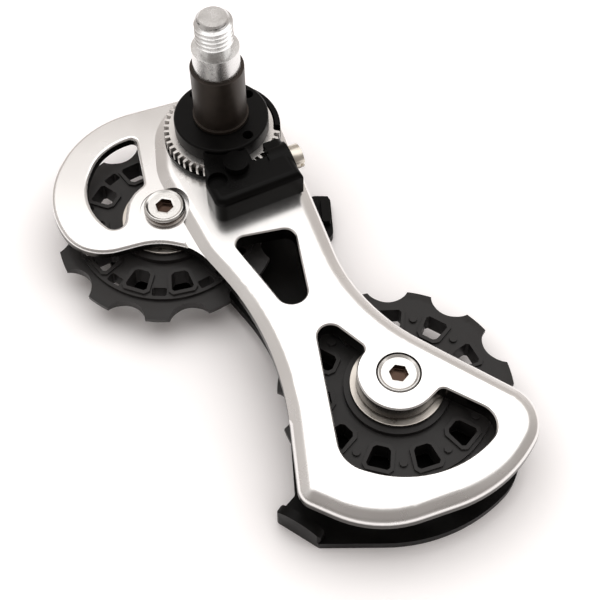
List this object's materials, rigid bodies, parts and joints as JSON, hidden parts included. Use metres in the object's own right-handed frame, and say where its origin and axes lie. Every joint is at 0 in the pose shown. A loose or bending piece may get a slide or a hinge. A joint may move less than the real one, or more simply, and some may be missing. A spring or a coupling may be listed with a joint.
{
  "type": "rear derailleur cage",
  "caption": "Rear derailleur cage: bevelled outer plate with windows and a thin inner plate holding two toothed chain pulleys, with a pivot stud and a worm adjuster for the cage spring.",
  "frame": {"origin": "on the pivot stud's axis, at the foot of the bare bearing sleeve", "axes": "+Z along the pivot stud, away from the cage; +Y along the pulley line, tension pulley to guide pulley"},
  "size_m": [0.0627, 0.1069, 0.0456],
  "materials": {
    "polished_plate": "satin-polished aluminium, bright bevels",
    "black_plate": "black anodised aluminium",
    "pulley_plastic": "charcoal moulded plastic",
    "bolt_steel": "stainless, turned",
    "bearing_steel": "ground steel",
    "cover_steel": "pressed steel, satin",
    "stud_steel": "bright zinc-plated steel",
    "sleeve_dark": "dark bronze-black oxide, satin",
    "bearing_bronze": "sintered bronze",
    "seat_black": "black moulded plastic, satin",
    "ring_metal": "bare metal, machined teeth",
    "bracket_black": "black moulded plastic, glossy",
    "worm_metal": "nickel-plated, slightly warm"
  },
  "bodies": {
    "pivot": {"pivot_bolt": "stud_steel", "pivot_sleeve": "sleeve_dark"},
    "cage": {"outer_plate": "polished_plate", "inner_plate": "black_plate", "guide_bolt": "bolt_steel", "tension_bolt": "bolt_steel", "guide_bush": "bearing_steel", "tension_bush": "bearing_steel", "guide_cover_outer": "cover_steel", "guide_cover_inner": "cover_steel", "tension_cover_outer": "cover_steel", "tension_cover_inner": "cover_steel", "pivot_bush": "bearing_bronze", "worm_bracket": "bracket_black", "bracket_screw_front": "bolt_steel", "bracket_screw_rear": "bolt_steel"},
    "guide_pulley": {"guide_pulley": "pulley_plastic"},
    "tension_pulley": {"tension_pulley": "pulley_plastic"},
    "adjuster_ring": {"tension_ring": "ring_metal", "spring_seat": "seat_black"},
    "adjuster_screw": {"worm_screw": "worm_metal"}
  },
  "joints": [
    {"name": "cage_swing", "type": "hinge", "parent": "pivot", "child": "cage", "pos_m": [0, 0, 0], "axis": [0, 0, 1], "continuous": true},
    {"name": "guide_pulley_spin", "type": "hinge", "parent": "cage", "child": "guide_pulley", "pos_m": [-0.0197, -0.0029, -0.0149], "axis": [0, 0, 1], "continuous": true},
    {"name": "tension_pulley_spin", "type": "hinge", "parent": "cage", "child": "tension_pulley", "pos_m": [-0.0197, -0.0589, -0.0149], "axis": [0, 0, 1], "continuous": true},
    {"name": "adjuster_screw_spin", "type": "hinge", "parent": "cage", "child": "adjuster_screw", "pos_m": [-0.00521, -0.01169, -0.00485], "axis": [0.9135, -0.4067, 0], "continuous": true},
    {"name": "adjuster_ring_turn", "type": "hinge", "parent": "cage", "child": "adjuster_ring", "pos_m": [0, 0, -0.0053], "axis": [0, 0, 1], "range_deg": [-30, 0]}
  ],
  "couplings": [
    {"joint": "adjuster_screw_spin", "follows": "adjuster_ring_turn", "ratio": -48}
  ]
}
